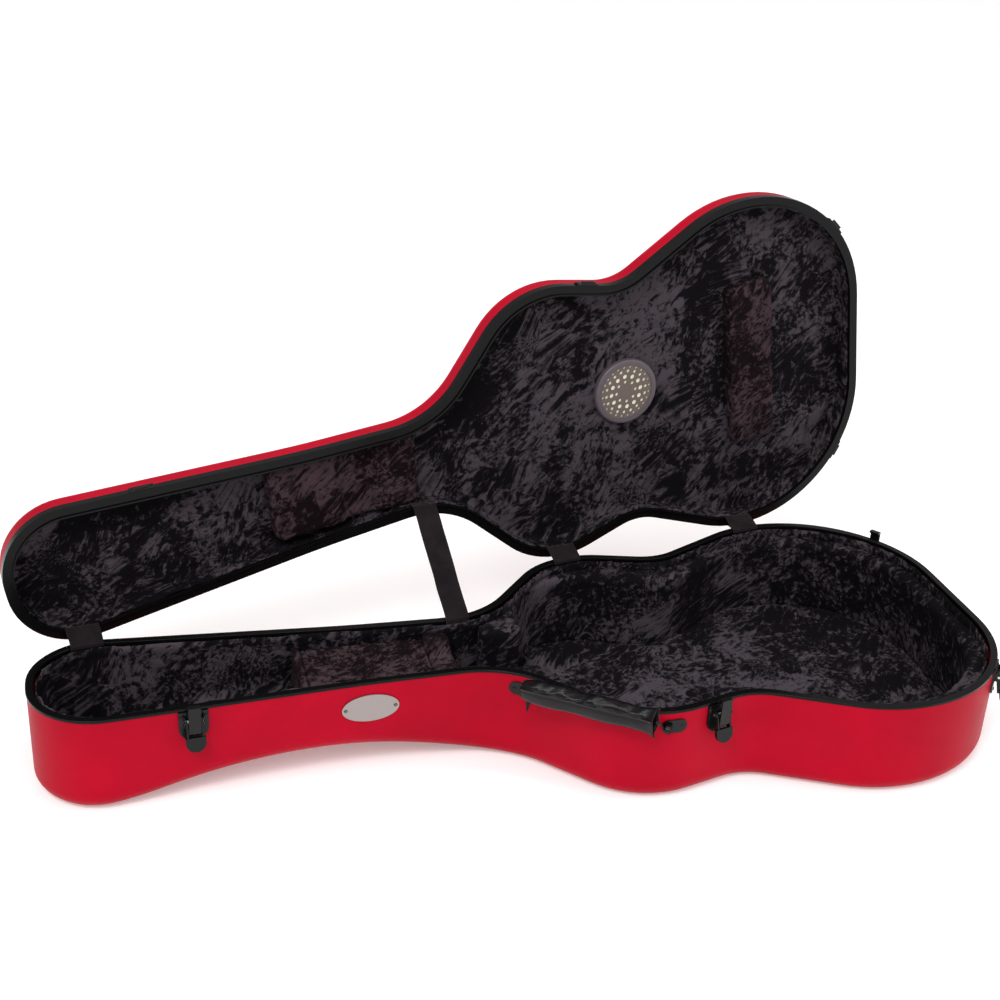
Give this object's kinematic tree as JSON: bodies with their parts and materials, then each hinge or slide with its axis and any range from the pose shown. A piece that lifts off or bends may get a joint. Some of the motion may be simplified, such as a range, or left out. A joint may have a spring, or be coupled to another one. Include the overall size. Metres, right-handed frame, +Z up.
{
  "type": "guitar case",
  "caption": "Hard shell guitar case lying open, with hinged lid, drawbolt latches, carrying handle, fitted plush interior and lidded compartment.",
  "frame": {"origin": "on the flat underside, half way along the case", "axes": "+X to the tail, +Y to the hinge side, +Z up"},
  "size_m": [1.1052, 0.5136, 0.5486],
  "materials": {
    "red_shell": "satin crimson moulded shell",
    "black_rim": "satin black edge extrusion",
    "velvet": "charcoal plush",
    "plush_brown": "brown and purple tinted plush",
    "black_metal": "glossy black die casting",
    "steel": "plain steel",
    "nickel": "satin nickel",
    "leather": "glossy black leather",
    "ribbon": "black woven ribbon",
    "disc_plastic": "grey mauve plastic",
    "sponge": "beige sponge"
  },
  "bodies": {
    "base": {"back_rail": "plush_brown", "badge_plate": "nickel", "badge_screws": "steel", "base_lining": "velvet", "base_rim": "black_rim", "base_rivets": "steel", "base_shell": "red_shell", "bed_pad": "velvet", "compartment_hinge_pin": "steel", "compartment_wall": "plush_brown", "front_rail": "plush_brown", "handle_end_bracket": "black_metal", "handle_start_bracket": "black_metal", "hinge_head_base_leaf": "black_metal", "hinge_head_cover": "ribbon", "hinge_lower_base_leaf": "black_metal", "hinge_lower_cover": "ribbon", "hinge_pins": "steel", "hinge_upper_base_leaf": "black_metal", "hinge_upper_cover": "ribbon", "latch_head_plate": "black_metal", "latch_pins": "steel", "latch_tail_back_plate": "black_metal", "latch_tail_front_plate": "black_metal", "latch_waist_plate": "black_metal", "neck_rest": "plush_brown", "side_foam": "velvet", "stay_strap": "ribbon"},
    "lid": {"lid_shell": "red_shell", "lid_rim": "black_rim", "lid_lining": "velvet", "neck_pad": "plush_brown", "bridge_pad": "plush_brown", "humidifier_cup": "disc_plastic", "humidifier_sponge": "sponge", "humidifier_grille": "disc_plastic", "lid_rivets": "steel", "latch_head_keeper": "black_metal", "latch_waist_keeper": "black_metal", "latch_tail_front_keeper": "black_metal", "latch_tail_back_keeper": "black_metal", "hinge_head_lid_leaf": "black_metal", "hinge_upper_lid_leaf": "black_metal", "hinge_lower_lid_leaf": "black_metal"},
    "compartment_lid": {"compartment_lid": "plush_brown", "pull_ribbon": "ribbon"},
    "handle": {"handle_bar": "steel", "handle_grip": "leather"},
    "lever_head": {"latch_head_lever": "black_metal"},
    "hook_head": {"latch_head_hook": "black_metal"},
    "lever_waist": {"latch_waist_lever": "black_metal"},
    "hook_waist": {"latch_waist_hook": "black_metal"},
    "lever_tail_front": {"latch_tail_front_lever": "black_metal"},
    "hook_tail_front": {"latch_tail_front_hook": "black_metal"},
    "lever_tail_back": {"latch_tail_back_lever": "black_metal"},
    "hook_tail_back": {"latch_tail_back_hook": "black_metal"}
  },
  "joints": [
    {"name": "lid_hinge", "type": "hinge", "parent": "base", "child": "lid", "pos_m": [-0.48062, 0.08481, 0.1055], "axis": [0.9866, 0.1629, 0], "range_deg": [0, 90], "deforming": ["stay_strap", "hinge_head_cover", "hinge_upper_cover", "hinge_lower_cover"]},
    {"name": "compartment_hinge", "type": "hinge", "parent": "base", "child": "compartment_lid", "pos_m": [-0.18, 0.047, 0.093], "axis": [1, 0, 0], "range_deg": [-88, 0]},
    {"name": "handle_swing", "type": "hinge", "parent": "base", "child": "handle", "pos_m": [-0.02571, -0.08573, 0.096], "axis": [0.8028, -0.5962, 0], "range_deg": [-5, 80]},
    {"name": "lever_head_turn", "type": "hinge", "parent": "base", "child": "lever_head", "pos_m": [-0.37705, -0.08036, 0.102], "axis": [0.9974, 0.0721, 0], "range_deg": [-88, 12]},
    {"name": "hook_head_turn", "type": "hinge", "parent": "lever_head", "child": "hook_head", "pos_m": [-0.37688, -0.08264, 0.09124], "axis": [0.9974, 0.0721, 0], "range_deg": [-14, 102]},
    {"name": "lever_waist_turn", "type": "hinge", "parent": "base", "child": "lever_waist", "pos_m": [0.17109, -0.17259, 0.102], "axis": [0.9675, 0.2527, 0], "range_deg": [-88, 12]},
    {"name": "hook_waist_turn", "type": "hinge", "parent": "lever_waist", "child": "hook_waist", "pos_m": [0.17167, -0.1748, 0.09124], "axis": [0.9675, 0.2527, 0], "range_deg": [-14, 102]},
    {"name": "lever_tail_front_turn", "type": "hinge", "parent": "base", "child": "lever_tail_front", "pos_m": [0.51511, -0.15865, 0.102], "axis": [0.6018, 0.7986, 0], "range_deg": [-88, 12]},
    {"name": "hook_tail_front_turn", "type": "hinge", "parent": "lever_tail_front", "child": "hook_tail_front", "pos_m": [0.51694, -0.16003, 0.09124], "axis": [0.6018, 0.7986, 0], "range_deg": [-14, 102]},
    {"name": "lever_tail_back_turn", "type": "hinge", "parent": "base", "child": "lever_tail_back", "pos_m": [0.51511, 0.15865, 0.102], "axis": [-0.6018, 0.7986, 0], "range_deg": [-88, 12]},
    {"name": "hook_tail_back_turn", "type": "hinge", "parent": "lever_tail_back", "child": "hook_tail_back", "pos_m": [0.51694, 0.16003, 0.09124], "axis": [-0.6018, 0.7986, 0], "range_deg": [-14, 102]}
  ],
  "couplings": [
    {"joint": "hook_head_turn", "follows": "lever_head_turn", "ratio": -1.15},
    {"joint": "hook_waist_turn", "follows": "lever_waist_turn", "ratio": -1.15},
    {"joint": "hook_tail_front_turn", "follows": "lever_tail_front_turn", "ratio": -1.15},
    {"joint": "hook_tail_back_turn", "follows": "lever_tail_back_turn", "ratio": -1.15}
  ]
}
